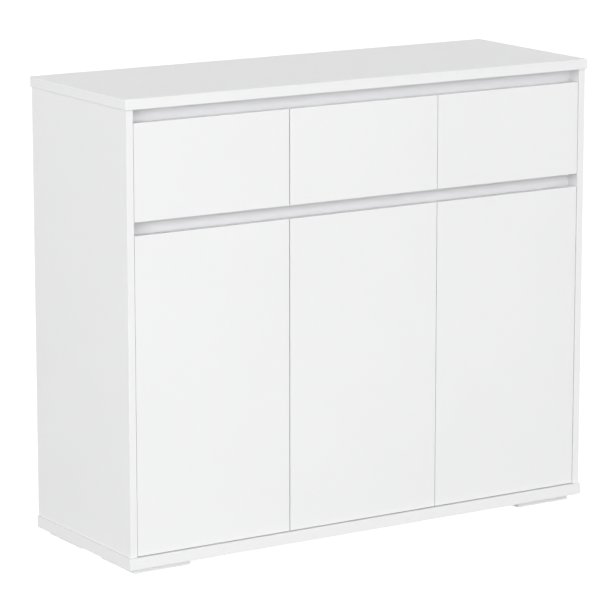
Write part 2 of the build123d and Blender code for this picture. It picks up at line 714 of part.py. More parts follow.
def write_carcass():
    save("top_panel", top_panel())
    save("bottom_panel", bottom_panel())
    for side in ("left", "right"):
        save(f"side_panel_{side}", side_panel(f"side_panel_{side}"))
        save(f"divider_{side}", divider(f"divider_{side}"))
    save("upper_grip_rail", grip_rail(UPPER_RAIL))
    save("lower_grip_rail", grip_rail(LOWER_RAIL))
    for name in NAMES:
        save(f"back_panel_{name}", back_panel(name))
        save(f"shelf_{name}", shelf(name))
    save("back_nails", *back_nails())
    save("shelf_pegs", *shelf_pegs())
    for side_name, side in (("left", -1), ("right", 1)):
        save(f"foot_front_{side_name}", foot(side, -1))
        save(f"foot_rear_{side_name}", foot(side, 1))
    save("foot_screws", *foot_screws())
    save("cam_locks", *[cam_lock(*cam) for cam in ALL_CAMS + RAIL_CAMS])
    save("cam_bolts", *[cam_bolt(*cam) for cam in ALL_CAMS + RAIL_CAMS])
    save("dowels", *[dowel(*place) for place in ALL_DOWELS + RAIL_DOWELS])


def write_drawers():
    save("runner_outer_members", *[member for name in NAMES for member in runner_outer(name)])
    for name in NAMES:
        save(f"drawer_front_{name}", drawer_front(name))
        save(f"drawer_sides_{name}", *drawer_sides(name))
        save(f"drawer_back_{name}", drawer_back(name))
        save(f"drawer_bottom_{name}", drawer_bottom(name))
        save(f"runner_middle_{name}", *runner_middle(name))
        save(f"runner_inner_{name}", *runner_inner(name))


def write_doors():
    save("hinge_plates", *[hinge_plate(name, z) for name in NAMES for z in HINGE_Z])
    save("hinge_arms", *[hinge_arm(name, z) for name in NAMES for z in HINGE_Z])
    save("hinge_plate_screws", *plate_screws())
    for name in NAMES:
        save(f"door_{name}", door(name))
        save(f"hinge_cups_{name}", *[hinge_cup(name, z) for z in HINGE_Z])
        save(f"hinge_pins_{name}", *[hinge_pin(name, z) for z in HINGE_Z])
        save(f"hinge_cup_screws_{name}", *cup_screws(name))


os.makedirs("parts", exist_ok=True)
write_carcass()
write_drawers()
write_doors()
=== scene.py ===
"""Looks of the sideboard buffet: studio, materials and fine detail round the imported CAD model.

Everything is in metres in the row frame: +X along the width, the fronts face -Y, +Z up, floor at zero.
"""
import math

import bmesh
import bpy
from mathutils import Matrix, Vector


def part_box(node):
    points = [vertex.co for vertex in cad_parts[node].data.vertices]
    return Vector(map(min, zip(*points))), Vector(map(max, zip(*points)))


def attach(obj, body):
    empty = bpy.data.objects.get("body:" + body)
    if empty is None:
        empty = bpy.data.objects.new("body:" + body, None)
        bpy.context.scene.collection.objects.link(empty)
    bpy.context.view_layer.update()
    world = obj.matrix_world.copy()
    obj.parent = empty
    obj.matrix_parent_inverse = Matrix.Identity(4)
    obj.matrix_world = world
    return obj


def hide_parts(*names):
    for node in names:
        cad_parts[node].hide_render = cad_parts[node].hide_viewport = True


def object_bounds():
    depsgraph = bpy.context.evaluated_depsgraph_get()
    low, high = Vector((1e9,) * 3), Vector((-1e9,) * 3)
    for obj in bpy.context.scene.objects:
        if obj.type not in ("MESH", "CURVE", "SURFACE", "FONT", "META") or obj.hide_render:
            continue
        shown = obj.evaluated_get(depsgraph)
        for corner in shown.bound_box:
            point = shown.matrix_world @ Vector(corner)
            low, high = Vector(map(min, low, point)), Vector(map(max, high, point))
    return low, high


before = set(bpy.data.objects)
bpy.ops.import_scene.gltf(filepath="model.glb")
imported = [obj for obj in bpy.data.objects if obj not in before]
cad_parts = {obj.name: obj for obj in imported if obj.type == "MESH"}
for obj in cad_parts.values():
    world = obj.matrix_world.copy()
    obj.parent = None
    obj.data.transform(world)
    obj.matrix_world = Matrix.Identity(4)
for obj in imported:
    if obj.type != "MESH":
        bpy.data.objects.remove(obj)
cad_low, cad_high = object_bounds()
scene = bpy.context.scene
MM = 0.001
NAMES = ("left", "middle", "right")
FEET = [f"foot_{end}_{side}" for end in ("front", "rear") for side in ("left", "right")]


# ---- Camera ----

CAMERA_AZIMUTH = math.radians(32.435)    # the camera stands to the front left
CAMERA_ELEVATION = math.radians(11.769)
CAMERA_DISTANCE = 7.3861
CAMERA_LENS = 200.07                     # millimetres, for the sensor below
SENSOR_WIDTH = 36
AIM = Vector((-0.0184, 0.0063, -0.0217)) # aimed point, from the middle of the object


def make_camera():
    looking = Vector((
        math.sin(CAMERA_AZIMUTH) * math.cos(CAMERA_ELEVATION),
        math.cos(CAMERA_AZIMUTH) * math.cos(CAMERA_ELEVATION),
        -math.sin(CAMERA_ELEVATION),
    ))
    camera = bpy.data.objects.new("camera", bpy.data.cameras.new("camera"))
    camera.data.sensor_width = SENSOR_WIDTH
    camera.data.lens = CAMERA_LENS
    camera.data.clip_end = 100
    camera.location = (cad_low + cad_high) / 2 + AIM - looking * CAMERA_DISTANCE
    camera.rotation_mode = "QUATERNION"
    camera.rotation_quaternion = looking.to_track_quat("-Z", "Y")
    scene.collection.objects.link(camera)
    scene.camera = camera


# ---- Studio ----

FRONT_WALL_GLOW = 1.703  # soft light from the horizon up to 35 degrees, ahead of the fronts
REAR_WALL_GLOW = 1.317   # and behind the object
GROUND_GLOW = 0.315      # light from below the horizon
WALL_TOP = (0.56, 0.80)  # the walls' light fades from the first to the second height of the direction
WALL_CORNER = 0.15       # the two walls blend within this much either side of the ends
HORIZON = 0.02           # the ground's light gives way to the walls' within this much of the horizon
FLOOR_GLOW = 1.0
FLOOR_ALBEDO = 0.22
FLOOR_ROUGHNESS = 0.9
FLOOR_SIZE = 60.0
LAMPS = {                # place, side of the square lamp in metres, watts
    "front": ((0.5, -6.0, 1.9), 3.2, 18.0),
    "front_left": ((-4.2, -3.4, 1.6), 2.6, 74.0),
}
LOW_LAMP = ((-2.4, -3.2, 0.45), 0.8, 17.0)  # stands in for the floor's glow, and reaches only the feet


def grey(level):
    return level, level, level, 1.0


def set_range(node, low, high, to_low, to_high):
    """Sets the four limits of a Map Range node."""
    for key, number in zip(("From Min", "From Max", "To Min", "To Max"), (low, high, to_low, to_high)):
        node.inputs[key].default_value = number


def make_world():
    """Bright walls, a dimmer ground and a dark ceiling."""
    world = bpy.data.worlds.new("studio")
    world.use_nodes = True
    tree = world.node_tree
    place = tree.nodes.new("ShaderNodeTexCoord")
    parts = tree.nodes.new("ShaderNodeSeparateXYZ")
    tree.links.new(place.outputs["Generated"], parts.inputs[0])

    def level(axis, low, high, to_low, to_high):
        node = tree.nodes.new("ShaderNodeMapRange")
        set_range(node, low, high, to_low, to_high)
        tree.links.new(parts.outputs[axis], node.inputs["Value"])
        return node.outputs["Result"]

    def joined(operation, first, second):
        node = tree.nodes.new("ShaderNodeMath")
        node.operation = operation
        tree.links.new(first, node.inputs[0])
        tree.links.new(second, node.inputs[1])
        return node.outputs[0]

    wall = level("Y", -WALL_CORNER, WALL_CORNER, FRONT_WALL_GLOW, REAR_WALL_GLOW)
    for edges in ((-HORIZON, HORIZON, 0.0, 1.0), (*WALL_TOP, 1.0, 0.0)):
        wall = joined("MULTIPLY", wall, level("Z", *edges))
    ground = level("Z", -HORIZON, HORIZON, GROUND_GLOW, 0.0)
    tree.links.new(joined("ADD", wall, ground), tree.nodes["Background"].inputs["Color"])
    scene.world = world


def make_floor():
    """A pale floor, which the camera sees and which doesn't light the object from below."""
    half = FLOOR_SIZE / 2
    mesh = bpy.data.meshes.new("floor")
    corners = [(-half, -half, 0), (half, -half, 0), (half, half, 0), (-half, half, 0)]
    mesh.from_pydata(corners, [], [(0, 1, 2, 3)])
    floor = bpy.data.objects.new("floor", mesh)
    scene.collection.objects.link(floor)
    paint = bpy.data.materials.new("pale_floor")
    paint.use_nodes = True
    shader = paint.node_tree.nodes["Principled BSDF"]
    shader.inputs["Base Color"].default_value = grey(FLOOR_ALBEDO)
    shader.inputs["Roughness"].default_value = FLOOR_ROUGHNESS
    shader.inputs["Specular IOR Level"].default_value = 0.0
    shader.inputs["Emission Color"].default_value = grey(1.0)
    shader.inputs["Emission Strength"].default_value = FLOOR_GLOW
    mesh.materials.append(paint)
    floor.visible_diffuse = False
    floor.visible_glossy = False
    floor.visible_shadow = False


def make_lamp(name, place, size, power):
    data = bpy.data.lights.new("lamp_" + name, "AREA")
    data.shape = "SQUARE"
    data.size = size
    data.energy = power
    lamp = bpy.data.objects.new("lamp_" + name, data)
    lamp.location = place
    lamp.rotation_mode = "QUATERNION"
    lamp.rotation_quaternion = ((cad_low + cad_high) / 2 - Vector(place)).to_track_quat("-Z", "Y")
    scene.collection.objects.link(lamp)
    return lamp


def make_lamps():
    for name, lamp in LAMPS.items():
        make_lamp(name, *lamp)
    low_lamp = make_lamp("low", *LOW_LAMP)
    feet = bpy.data.collections.new("feet")
    for foot in FEET:
        feet.objects.link(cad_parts[foot])
    low_lamp.light_linking.receiver_collection = feet


def make_studio():
    scene.view_settings.view_transform = "Standard"
    scene.view_settings.look = "None"
    make_world()
    make_floor()
    make_lamps()


# ---- Material building ----

class Graph:
    """A material's node tree, with short calls for the nodes used here."""

    def __init__(self, name):
        self.material = bpy.data.materials.new(name)
        self.material.use_nodes = True
        self.tree = self.material.node_tree
        self.shader = self.tree.nodes["Principled BSDF"]
        self.place = self.tree.nodes.new("ShaderNodeTexCoord").outputs["Object"]

    def link(self, value, socket):
        """Connects an output, or sets a number or colour."""
        if isinstance(value, bpy.types.NodeSocket):
            self.tree.links.new(value, socket)
        else:
            socket.default_value = value

    def math(self, operation, *values):
        node = self.tree.nodes.new("ShaderNodeMath")
        node.operation = operation
        for value, socket in zip(values, node.inputs):
            self.link(value, socket)
        return node.outputs[0]

    def vector(self, operation, *values):
        node = self.tree.nodes.new("ShaderNodeVectorMath")
        node.operation = operation
        for value, socket in zip(values, node.inputs):
            self.link(value, socket)
        return node.outputs["Value" if operation == "DOT_PRODUCT" else "Vector"]

    def fold(self, centre):
        """Mirrors everything right of a plane at X = centre onto its left, for a pair of boards."""
        x, y, z = self.split(self.place)
        away = self.math("ABSOLUTE", self.math("SUBTRACT", x, centre))
        mirrored = self.math("SUBTRACT", centre, away)
        node = self.tree.nodes.new("ShaderNodeCombineXYZ")
        for value, socket in zip((mirrored, y, z), node.inputs):
            self.link(value, socket)
        self.place = node.outputs[0]

    def split(self, vector):
        node = self.tree.nodes.new("ShaderNodeSeparateXYZ")
        self.link(vector, node.inputs[0])
        return node.outputs

    def normal(self):
        """The surface's direction in the object's own axes."""
        return self.tree.nodes["Texture Coordinate"].outputs["Normal"]

    def noise(self, scale, detail=2.0, stretch=None, roughness=0.5):
        """Noise from 0 to 1 at so many features per metre."""
        node = self.tree.nodes.new("ShaderNodeTexNoise")
        where = self.place if stretch is None else self.vector("MULTIPLY", self.place, stretch)
        self.link(where, node.inputs["Vector"])
        node.inputs["Scale"].default_value = scale
        node.inputs["Detail"].default_value = detail
        node.inputs["Roughness"].default_value = roughness
        return node.outputs["Fac"]

    def cells(self, scale, stretch):
        """A random grey for each cell."""
        node = self.tree.nodes.new("ShaderNodeTexVoronoi")
        self.link(self.vector("MULTIPLY", self.place, stretch), node.inputs["Vector"])
        node.inputs["Scale"].default_value = scale
        return self.split(node.outputs["Color"])[0]

    def span(self, value, low, high, to_low=0.0, to_high=1.0, smooth=True):
        """Maps low..high to to_low..to_high, clamped."""
        node = self.tree.nodes.new("ShaderNodeMapRange")
        node.interpolation_type = "SMOOTHSTEP" if smooth else "LINEAR"
        set_range(node, low, high, to_low, to_high)
        self.link(value, node.inputs["Value"])
        return node.outputs["Result"]

    def blend(self, share, first, second):
        node = self.tree.nodes.new("ShaderNodeMix")
        node.data_type = "RGBA"
        self.link(share, node.inputs["Factor"])
        self.link(first, node.inputs["A"])
        self.link(second, node.inputs["B"])
        return node.outputs["Result"]

    def bump(self, height, strength, distance, after=None):
        node = self.tree.nodes.new("ShaderNodeBump")
        node.inputs["Strength"].default_value = strength
        node.inputs["Distance"].default_value = distance
        self.link(height, node.inputs["Height"])
        if after is not None:
            self.link(after, node.inputs["Normal"])
        return node.outputs["Normal"]

    def finish(self, color, roughness, normal=None, **sockets):
        self.link(color, self.shader.inputs["Base Color"])
        self.link(roughness, self.shader.inputs["Roughness"])
        if normal is not None:
            self.link(normal, self.shader.inputs["Normal"])
        for name, value in sockets.items():
            self.shader.inputs[name.replace("_", " ")].default_value = value
        return self.material


def rgb(red, green, blue):
    return red, green, blue, 1.0


WHITE = rgb(0.870, 0.871, 0.875)
WHITE_SHADE = rgb(0.860, 0.861, 0.865)
BAND = rgb(0.864, 0.865, 0.868)
RAIL_WHITE_PAINTED_LIGHT = rgb(0.905, 0.905, 0.921)     # the grip rails are painted a brighter, bluer white than the other boards: painted light lifting the shade in the grip channels
RAIL_SHADE_PAINTED_LIGHT = rgb(0.896, 0.896, 0.912)
SEAM = rgb(0.70, 0.70, 0.69)
CHIP_LIGHT = rgb(0.58, 0.44, 0.28)
CHIP_DARK = rgb(0.30, 0.20, 0.11)
# the feet's white is lighter than the boards': painted light lifting the shade under the bottom panel's
# overhang
FOOT_WHITE_PAINTED_LIGHT = rgb(0.900, 0.902, 0.904)
FOOT_SHADE_PAINTED_LIGHT = rgb(0.888, 0.890, 0.892)
PAINT = rgb(0.846, 0.850, 0.850)
PAINT_SHADE = rgb(0.834, 0.838, 0.838)
FOIL_EDGE = rgb(0.86, 0.86, 0.85)
BEECH_LIGHT = rgb(0.70, 0.50, 0.31)
BEECH_DARK = rgb(0.58, 0.39, 0.22)
BEECH_FLECK = rgb(0.36, 0.21, 0.10)
ZINC_LIGHT = rgb(0.65, 0.67, 0.70)
ZINC_DARK = rgb(0.58, 0.60, 0.64)
ZINC_BLUSH = rgb(0.66, 0.65, 0.61)
NICKEL_LIGHT = rgb(0.72, 0.70, 0.66)
NICKEL_DARK = rgb(0.60, 0.58, 0.55)
CAST_LIGHT = rgb(0.58, 0.58, 0.59)
CAST_DARK = rgb(0.42, 0.42, 0.44)
HARDBOARD_LIGHT = rgb(0.43, 0.30, 0.18)
HARDBOARD_DARK = rgb(0.36, 0.24, 0.14)
HARDBOARD_FIBRE = rgb(0.23, 0.145, 0.08)

CORE_DEPTH = 0.45 * MM        # deeper than this below every face is the board's core
CORE_ROUGHNESS = 0.9
BAND_THICKNESS = 1.0 * MM
DRAWER_BOARD = 12.0 * MM
SEAM_WIDTH = 0.12 * MM
SEAM_STRENGTH = 0.5
RAW_END_AND_PAINTED_SHADE = 0.5 * MM            # the sides' cut ends are bare chipboard, and the same colour is painted this far up their faces as painted shade for the shadow line at each joint
FOIL_FOLD = (1.6 * MM, 0.2 * MM)  # the foil turns duller between these distances from the block's edges
SCUFF_HEIGHT = 3.0 * MM       # the feet are scuffed up to here
COATING_IOR = 1.48
MOST = (0.35, 0.65)           # most of a noise's values lie between these
NEARLY_ALL = (0.3, 0.7)
CLOUD_SHARE = 0.25            # of the metals' roughness that comes from clouds; the rest is streaks


def box_distance(graph, low, high, axes):
    """The distance to the nearest face of a box, along some of the axes."""
    below = graph.split(graph.vector("SUBTRACT", graph.place, low))
    above = graph.split(graph.vector("SUBTRACT", high, graph.place))
    distance = None
    for axis in axes:
        nearer = graph.math("MINIMUM", below[axis], above[axis])
        distance = nearer if distance is None else graph.math("MINIMUM", distance, nearer)
    return distance


def inside(graph, low, high):
    """1 in the core of a board and 0 on its faces."""
    return graph.span(box_distance(graph, low, high, range(3)), CORE_DEPTH, CORE_DEPTH * 1.5)


def chipboard(graph):
    """Pressed wood chips, seen where a board is drilled or notched."""
    chips = graph.cells(420.0, stretch=(1.0, 0.45, 1.0))
    return graph.blend(graph.math("MULTIPLY", chips, graph.noise(900.0, 3.0)), CHIP_DARK, CHIP_LIGHT)


def melamine(node):
    """White melamine on chipboard: faint pearl grain, banded edges with a hairline seam, a raw core."""
    graph = Graph("melamine_" + node)
    low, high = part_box(node)
    if node.startswith("drawer_sides"):
        graph.fold((low.x + high.x) / 2)
        high.x = low.x + DRAWER_BOARD
    size = high - low
    thin = min(range(3), key=lambda axis: size[axis])
    wide = [axis for axis in range(3) if axis != thin]

    broad = graph.noise(3.2, 3.0)
    pearl = graph.noise(1500.0, 2.0)
    peel = graph.noise(240.0, 3.0)
    # the grip rails take the brighter, bluer whites: painted light for the shade in the recessed grip
    # channels
    tones = (RAIL_WHITE_PAINTED_LIGHT, RAIL_SHADE_PAINTED_LIGHT) if node.endswith("grip_rail") else (WHITE, WHITE_SHADE)
    face_color = graph.blend(graph.span(broad, *MOST), *tones)

    normal = graph.split(graph.normal())
    on_rim = graph.span(graph.math("ABSOLUTE", normal[thin]), 0.5, 0.35)
    rim_distance = box_distance(graph, low, high, wide)
    off_seam = graph.math("ABSOLUTE", graph.math("SUBTRACT", rim_distance, BAND_THICKNESS))
    on_face = graph.math("SUBTRACT", 1.0, on_rim)
    seam = graph.math("MULTIPLY", graph.span(off_seam, SEAM_WIDTH, SEAM_WIDTH * 0.3), on_face)
    color = graph.blend(on_rim, face_color, BAND)
    color = graph.blend(graph.math("MULTIPLY", seam, SEAM_STRENGTH), color, SEAM)

    core = inside(graph, low, high)
    if node.startswith("side_panel"):
        # bare chipboard on the cut ends, and painted shade: the same dark colour painted 0.5 mm up the
        # faces beside each joint
        raw_end_and_painted_shade = graph.span(box_distance(graph, low, high, (2,)), RAW_END_AND_PAINTED_SHADE, RAW_END_AND_PAINTED_SHADE * 0.7)
        core = graph.math("MAXIMUM", core, raw_end_and_painted_shade)
    color = graph.blend(core, color, chipboard(graph))
    rough = graph.span(peel, *NEARLY_ALL, 0.40, 0.50)
    rough = graph.math("MAXIMUM", rough, graph.math("MULTIPLY", core, CORE_ROUGHNESS))
    grain = graph.bump(pearl, 0.06, 0.05 * MM)
    grain = graph.bump(peel, 0.05, 0.10 * MM, grain)
    return graph.finish(color, rough, grain, IOR=COATING_IOR)


def fibreboard(node, white_side):
    """Thin fibreboard, painted white on one face; white_side is that face's normal."""
    graph = Graph("fibreboard_" + node)
    painted = graph.span(graph.vector("DOT_PRODUCT", graph.normal(), white_side), 0.4, 0.6)
    mottle = graph.noise(150.0, 5.0, roughness=0.7)
    fibres = graph.noise(520.0, 4.0, stretch=(1.0, 0.35, 0.35), roughness=0.7)
    brown = graph.blend(graph.span(mottle, *NEARLY_ALL), HARDBOARD_DARK, HARDBOARD_LIGHT)
    brown = graph.blend(graph.span(fibres, 0.58, 0.72, 0.0, 0.7), brown, HARDBOARD_FIBRE)
    paint = graph.blend(graph.span(graph.noise(5.0, 3.0), *MOST), PAINT, PAINT_SHADE)
    color = graph.blend(painted, brown, paint)
    rough = graph.span(fibres, *NEARLY_ALL, 0.78, 0.92)
    rough = graph.math("ADD", rough, graph.math("MULTIPLY", painted, -0.34))
    raw = graph.math("MULTIPLY", fibres, graph.math("SUBTRACT", 1.0, painted))
    grain = graph.bump(raw, 0.35, 0.12 * MM)
    grain = graph.bump(graph.noise(210.0, 3.0), 0.08, 0.10 * MM, grain)
    return graph.finish(color, rough, grain, IOR=COATING_IOR)


def foil(node):
    """White foil wrapped round a block, duller along its edges, over a raw fibreboard underside."""
    graph = Graph("foil_" + node)
    low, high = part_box(node)
    peel = graph.noise(260.0, 3.0)
    # the lighter foot whites are painted light for the shade under the overhang
    tone = graph.blend(graph.span(graph.noise(9.0, 3.0), *MOST), FOOT_WHITE_PAINTED_LIGHT, FOOT_SHADE_PAINTED_LIGHT)
    edge = graph.span(box_distance(graph, low, high, (0, 1)), *FOIL_FOLD, 0.0, 0.35)
    color = graph.blend(edge, tone, FOIL_EDGE)
    under = graph.span(graph.split(graph.normal())[2], -0.6, -0.8)
    height = graph.split(graph.place)[2]
    fibres = graph.noise(600.0, 4.0, roughness=0.7)
    raw = graph.blend(graph.span(fibres, *MOST), HARDBOARD_DARK, HARDBOARD_LIGHT)
    color = graph.blend(graph.math("MAXIMUM", under, inside(graph, low, high)), color, raw)
    scuff = graph.math("MULTIPLY", graph.span(height, SCUFF_HEIGHT, 0.0), graph.span(peel, 0.55, 0.75))
    rough = graph.span(peel, *NEARLY_ALL, 0.42, 0.52)
    rough = graph.math("ADD", rough, graph.math("MULTIPLY", scuff, 0.2))
    return graph.finish(color, rough, graph.bump(peel, 0.08, 0.12 * MM), IOR=COATING_IOR)


def metal(name, light, dark, smooth, rough, stretch=(1.0, 1.0, 1.0), pits=0.06, blush=None):
    """Plated or cast metal, with streaks along its rolling direction and cloudy plating."""
    graph = Graph(name)
    clouds = graph.noise(110.0, 4.0, roughness=0.6)
    streaks = graph.noise(1400.0, 3.0, stretch=stretch, roughness=0.7)
    color = graph.blend(graph.span(clouds, 0.32, 0.68), dark, light)
    if blush is not None:
        color = graph.blend(graph.span(graph.noise(24.0, 3.0), 0.52, 0.70, 0.0, 0.5), color, blush)
    cloudy = graph.math("MULTIPLY", clouds, CLOUD_SHARE)
    streaky = graph.math("MULTIPLY", streaks, 1.0 - CLOUD_SHARE)
    roughness = graph.span(graph.math("ADD", cloudy, streaky), *MOST, smooth, rough, smooth=False)
    grain = graph.bump(streaks, pits, 0.03 * MM)
    return graph.finish(color, roughness, grain, Metallic=1.0)


def beech(name):
    """Turned beech: growth rings across the rod and short dark flecks along it."""
    graph = Graph(name)
    rings = graph.noise(420.0, 4.0, stretch=(1.0, 1.0, 0.12))
    flecks = graph.cells(900.0, stretch=(1.0, 1.0, 0.25))
    color = graph.blend(graph.span(rings, *MOST), BEECH_DARK, BEECH_LIGHT)
    color = graph.blend(graph.span(flecks, 0.82, 0.95, 0.0, 0.6), color, BEECH_FLECK)
    rough = graph.span(rings, *NEARLY_ALL, 0.55, 0.72)
    return graph.finish(color, rough, graph.bump(rings, 0.2, 0.1 * MM))


# ---- Shapes made here ----

WELD = 0.01 * MM


def solids(node):
    """The corner places of each separate solid in a CAD node."""
    mesh = bmesh.new()
    mesh.from_mesh(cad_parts[node].data)
    bmesh.ops.remove_doubles(mesh, verts=mesh.verts, dist=WELD)
    seen = set()
    found = []
    for start in mesh.verts:
        if start in seen:
            continue
        seen.add(start)
        queue = [start]
        for corner in queue:
            for edge in corner.link_edges:
                other = edge.other_vert(corner)
                if other not in seen:
                    seen.add(other)
                    queue.append(other)
        found.append([corner.co.copy() for corner in queue])
    mesh.free()
    return found


def corners_of(places):
    """Lowest and highest corners of some places."""
    low = Vector([min(place[axis] for place in places) for axis in range(3)])
    high = Vector([max(place[axis] for place in places) for axis in range(3)])
    return low, high


def nearest(boxes, place, axes=(0, 1, 2)):
    """The box, of a list of corner pairs, whose middle is nearest to a place along some axes."""
    def distance(pair):
        offset = (pair[0] + pair[1]) / 2 - place
        return sum(offset[axis] ** 2 for axis in axes)

    return min(boxes, key=distance)


def fastener_places(node, head_height):
    """For each screw or nail: where its head meets its shank, and the way out of the board."""
    places = []
    for solid in solids(node):
        low, high = corners_of(solid)
        size = high - low
        axis = max(range(3), key=lambda index: size[index])
        middle = (low + high) / 2
        spread = {}
        for sign, end in ((-1, low[axis]), (1, high[axis])):
            near = [place for place in solid if abs(place[axis] - end) < head_height / 2]
            flat = [place - middle for place in near]
            for offset in flat:
                offset[axis] = 0.0
            spread[sign] = max(offset.length for offset in flat)
        way = 1 if spread[1] > spread[-1] else -1
        out = Vector((0.0, 0.0, 0.0))
        out[axis] = way
        top = middle.copy()
        top[axis] = high[axis] if way > 0 else low[axis]
        places.append((top - out * head_height, out))
    return places


def turned(profile, steps=40):
    """A mesh turned round Z from (radius, height) points in millimetres, whose ends are on the axis."""
    mesh = bmesh.new()
    rings = []
    for radius, height in profile:
        if radius == 0:
            rings.append([mesh.verts.new((0.0, 0.0, height * MM))])
            continue
        ring = []
        for step in range(steps):
            angle = 2 * math.pi * step / steps
            place = (radius * math.cos(angle) * MM, radius * math.sin(angle) * MM, height * MM)
            ring.append(mesh.verts.new(place))
        rings.append(ring)
    for first, second in zip(rings, rings[1:]):
        for step in range(steps):
            after = (step + 1) % steps
            if len(first) == 1:
                mesh.faces.new((first[0], second[step], second[after]))
            elif len(second) == 1:
                mesh.faces.new((first[step], second[0], first[after]))
            else:
                mesh.faces.new((first[step], second[step], second[after], first[after]))
    bmesh.ops.recalc_face_normals(mesh, faces=mesh.faces)
    return to_mesh(mesh, "turned")


def to_mesh(mesh, name):
    data = bpy.data.meshes.new(name)
    mesh.to_mesh(data)
    mesh.free()
    return data


RECESS_TAPER = 0.45   # the width of a driver's recess at its bottom, as a share of its top


def tapered_slot(length, width, depth):
    """A blade-shaped tool round the origin that narrows downwards, in millimetres."""
    mesh = bmesh.new()
    bmesh.ops.create_cube(mesh, size=1.0)
    for corner in mesh.verts:
        narrow = RECESS_TAPER if corner.co.z < 0 else 1.0
        corner.co.x *= length * narrow * MM
        corner.co.y *= width * narrow * MM
        corner.co.z *= 2 * depth * MM
    return mesh


def cross_tool(height, length, width, depth):
    """Two crossed blades that cut a driver's recess into a head whose top is at that height."""
    blade = to_mesh(tapered_slot(length, width, depth), "blade")
    tool = bmesh.new()
    for turn in (0.0, math.pi / 2):
        matrix = Matrix.Translation((0, 0, height * MM)) @ Matrix.Rotation(turn, 4, "Z")
        tool.from_mesh(moved_copy(blade, matrix))
    return to_mesh(tool, "cross_tool")


def moved_copy(data, matrix):
    """A copy of a mesh, moved."""
    copy = data.copy()
    copy.transform(matrix)
    return copy


def carved(data, tool):
    """A mesh with a tool's shape, which may cross itself, cut out of it."""
    body = bpy.data.objects.new("carved", data)
    cutter = bpy.data.objects.new("cutter", tool)
    for item in (body, cutter):
        scene.collection.objects.link(item)
    knife = body.modifiers.new("cut", "BOOLEAN")
    knife.operation = "DIFFERENCE"
    knife.solver = "EXACT"
    knife.use_self = True
    knife.object = cutter
    ready = body.evaluated_get(bpy.context.evaluated_depsgraph_get())
    result = bpy.data.meshes.new_from_object(ready)
    for item in (body, cutter):
        bpy.data.objects.remove(item)
    return result


def copies(name, data, places, body, material, slot, *nodes, turn=0.0):
    """One piece made of copies of a mesh, each standing on a place with its Z along a direction."""
    mesh = bmesh.new()
    for index, (place, out) in enumerate(places):
        spin = Matrix.Rotation(turn * index, 4, "Z")
        matrix = Matrix.Translation(place) @ out.to_track_quat("Z", "Y").to_matrix().to_4x4() @ spin
        mesh.from_mesh(moved_copy(data, matrix))
    return piece(name, mesh, body, material, slot, *nodes)


def piece(name, mesh, body, material, slot, *nodes):
    """A new piece that rides on a body and stands for some CAD nodes, if any."""
    made = bpy.data.objects.new(name, to_mesh(mesh, name))
    scene.collection.objects.link(made)
    made.data.materials.clear()
    made.data.materials.append(material)
    shade(made)
    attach(made, body)
    if nodes:
        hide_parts(*nodes)
    return made


SMOOTH_ANGLE = math.radians(35)
SOFTEN_ANGLE = math.radians(40)   # sharper edges than this are broken
SOFTEN_SEGMENTS = 2


def shade(made):
    """Smooth shading that keeps the sharp edges."""
    made.data.shade_smooth()
    made.data.set_sharp_from_angle(angle=SMOOTH_ANGLE)


def soften(node, width):
    """Breaks the sharp edges of a CAD node, as pressing or sanding does."""
    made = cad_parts[node]
    weld = made.modifiers.new("weld", "WELD")
    weld.merge_threshold = WELD
    bevel = made.modifiers.new("bevel", "BEVEL")
    bevel.width = width
    bevel.segments = SOFTEN_SEGMENTS
    bevel.limit_method = "ANGLE"
    bevel.angle_limit = SOFTEN_ANGLE
    bevel.use_clamp_overlap = True
    normals = made.modifiers.new("normals", "WEIGHTED_NORMAL")
    normals.keep_sharp = False


# ---- Screws and nails ----

SCREW_HEAD = 1.6          # millimetres, as in the CAD model
SCREW_PROFILE = (
    (0, SCREW_HEAD), (0.9, 1.58), (1.7, 1.50), (2.4, 1.33), (2.95, 1.06), (3.3, 0.70), (3.45, 0.35),
    (3.42, 0.08), (3.3, 0), (1.7, 0), (1.7, -9.6), (1.2, -10.8), (0, -11.9),
)
NAIL_HEAD = 0.8
NAIL_PROFILE = (
    (0, NAIL_HEAD), (0.7, 0.77), (1.3, 0.68), (1.8, 0.50), (2.1, 0.26), (2.15, 0.10), (2.05, 0),
    (0.78, 0), (0.78, -10.6), (0.4, -11.5), (0, -11.9),
)
SCREW_RECESS = (4.2, 1.0, 1.1)  # length, width and depth
SCREW_TURN = 2.4          # radians between one screw's recess and the next


def make_fasteners(zinc, nickel):
    tool = cross_tool(SCREW_HEAD, *SCREW_RECESS)
    head = carved(turned(SCREW_PROFILE), tool)
    groups = [
        ("foot_screw", "foot_screws", "carcass", zinc, "zinc_steel"),
        ("hinge_plate_screw", "hinge_plate_screws", "carcass", nickel, "nickel_hinge"),
    ]
    for name in NAMES:
        cups = "hinge_cup_screws_" + name
        groups.append(("hinge_cup_screw_" + name, cups, "door_" + name, nickel, "nickel_hinge"))
    for title, node, body, material, slot in groups:
        places = fastener_places(node, SCREW_HEAD * MM)
        copies(title + "_heads", head, places, body, material, slot, node, turn=SCREW_TURN)
    nail = turned(NAIL_PROFILE, steps=24)
    places = fastener_places("back_nails", NAIL_HEAD * MM)
    copies("back_nail_heads", nail, places, "carcass", zinc, "zinc_steel", "back_nails", turn=SCREW_TURN)


# ---- Drawer runners' ball cages ----

BALL_PITCH = 11.0 * MM
BALLS = 10
CAGE_SHEET = 0.5 * MM
CAGE_MARGIN = 6.0 * MM    # from a cage's end to its first ball
STEEL_SHEET = 1.2 * MM
BALL_PLAY = 0.05 * MM
# each cage's web and its legs' reach, in millimetres from the upright
BACK_CAGE = (2.1, (2.4, 8.6))
FRONT_CAGE = (4.9, (4.9, 10.6))
BACK_CAGE_START = 140 * MM   # ahead of the middle member's back end
FRONT_CAGE_START = 12 * MM   # behind its front end


